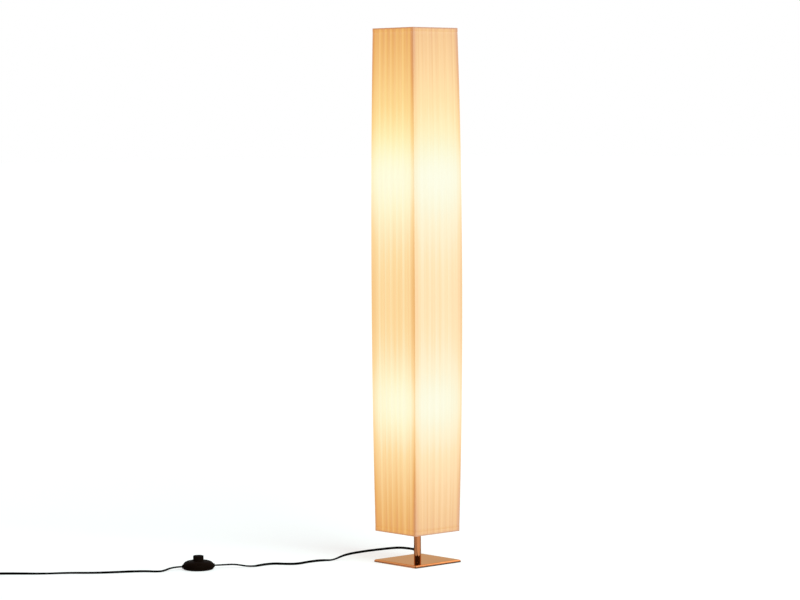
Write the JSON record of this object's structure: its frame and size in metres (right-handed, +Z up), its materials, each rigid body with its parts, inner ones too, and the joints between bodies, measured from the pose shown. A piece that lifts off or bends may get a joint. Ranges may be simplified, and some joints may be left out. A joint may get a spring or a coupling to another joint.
{
  "type": "column floor lamp",
  "caption": "Tall square pleated column shade over a thin square metal foot with a short round stem, with a flat flex, foot switch and plug.",
  "frame": {"origin": "on the floor under the middle of the foot", "axes": "+Z up; the foot's and shade's sides lie along X and Y; the flex leaves the stem towards -X"},
  "size_m": [0.6869, 0.9949, 1.2],
  "materials": {
    "rose_plating": "polished rose-gold coloured plating",
    "steel_plate": "raw steel plate",
    "felt": "self-adhesive felt",
    "zinc_steel": "zinc-plated steel",
    "brass": "bare brass",
    "black_plastic": "satin black plastic",
    "flex_pvc": "black flexible PVC",
    "holder_plastic": "black moulded thermoset",
    "holder_ceramic": "unglazed ceramic",
    "lamp_cap": "nickel-plated lamp cap",
    "lamp_core": "white heat sink",
    "opal_glass": "opal glass, lit warm white",
    "frame_white": "white coated wire",
    "shade_cloth": "pleated translucent cream cloth, lit from inside",
    "shade_hem": "folded cream binding",
    "switch_rubber": "non-slip rubber",
    "terminal_plastic": "natural nylon",
    "pin_metal": "nickel-plated brass"
  },
  "bodies": {
    "stand": {"base_cover": "rose_plating", "base_weight": "steel_plate", "base_pad": "felt", "base_washer": "zinc_steel", "base_nipple": "zinc_steel", "lamp_nuts": "zinc_steel", "stem_tube": "rose_plating", "stem_bushes": "brass", "cord_grommet": "black_plastic", "lower_bar": "zinc_steel", "holder_bracket": "zinc_steel", "top_bar": "zinc_steel", "side_rod_left": "zinc_steel", "side_rod_right": "zinc_steel", "rod_nuts": "zinc_steel", "grub_screws": "zinc_steel", "holder_nipples": "zinc_steel", "holder_cap_lower": "holder_plastic", "holder_cap_upper": "holder_plastic", "holder_skirts": "holder_plastic", "holder_inserts": "holder_ceramic", "screw_shells": "brass", "centre_contacts": "brass", "top_stud": "zinc_steel", "flex_stem": "flex_pvc", "flex_ladder": "flex_pvc", "flex_ties": "black_plastic", "switch_cover": "black_plastic", "switch_base": "black_plastic", "switch_pad": "switch_rubber", "switch_case_screws": "zinc_steel", "switch_fixed_contacts": "brass", "switch_spring": "zinc_steel", "switch_terminals": "terminal_plastic", "switch_terminal_screws": "brass", "switch_leads": "flex_pvc", "cord_lamp_to_switch": "flex_pvc", "cord_switch_to_coil": "flex_pvc", "cord_coil": "flex_pvc", "cord_coil_to_plug": "flex_pvc", "plug_body": "black_plastic", "plug_pins": "pin_metal", "plug_pin_sleeves": "black_plastic"},
    "shade": {"shade_cover": "shade_cloth", "top_hem": "shade_hem", "bottom_hem": "shade_hem", "top_ring": "frame_white", "bottom_ring": "frame_white", "corner_struts": "frame_white", "top_spider": "frame_white", "seam_tape": "shade_hem"},
    "cap_nut": {"cap_nut": "rose_plating"},
    "lamp_lower": {"bulb_cap_lower": "lamp_cap", "bulb_glass_lower": "opal_glass", "bulb_core_lower": "lamp_core"},
    "lamp_upper": {"bulb_cap_upper": "lamp_cap", "bulb_glass_upper": "opal_glass", "bulb_core_upper": "lamp_core"},
    "button": {"switch_button": "black_plastic", "switch_contact_bridge": "brass"}
  },
  "joints": [
    {"name": "button_press", "type": "slide", "parent": "stand", "child": "button", "axis": [0, 0, -1], "range_m": [0, 0.004], "stiffness_N_per_m": 900, "springref_m": -0.001, "deforming": ["switch_spring"]},
    {"name": "shade_lift", "type": "slide", "parent": "stand", "child": "shade", "axis": [0, 0, 1], "range_m": [0, 0.15]},
    {"name": "cap_nut_turn", "type": "hinge", "parent": "shade", "child": "cap_nut", "pos_m": [0, 0, 1.184], "axis": [0, 0, 1], "range_deg": [0, 1440]},
    {"name": "lamp_lower_turn", "type": "hinge", "parent": "stand", "child": "lamp_lower", "pos_m": [0, 0, 0.31], "axis": [0, 0, 1], "range_deg": [0, 900]},
    {"name": "lamp_upper_turn", "type": "hinge", "parent": "stand", "child": "lamp_upper", "pos_m": [0, 0, 0.787], "axis": [0, 0, 1], "range_deg": [0, 900]}
  ]
}
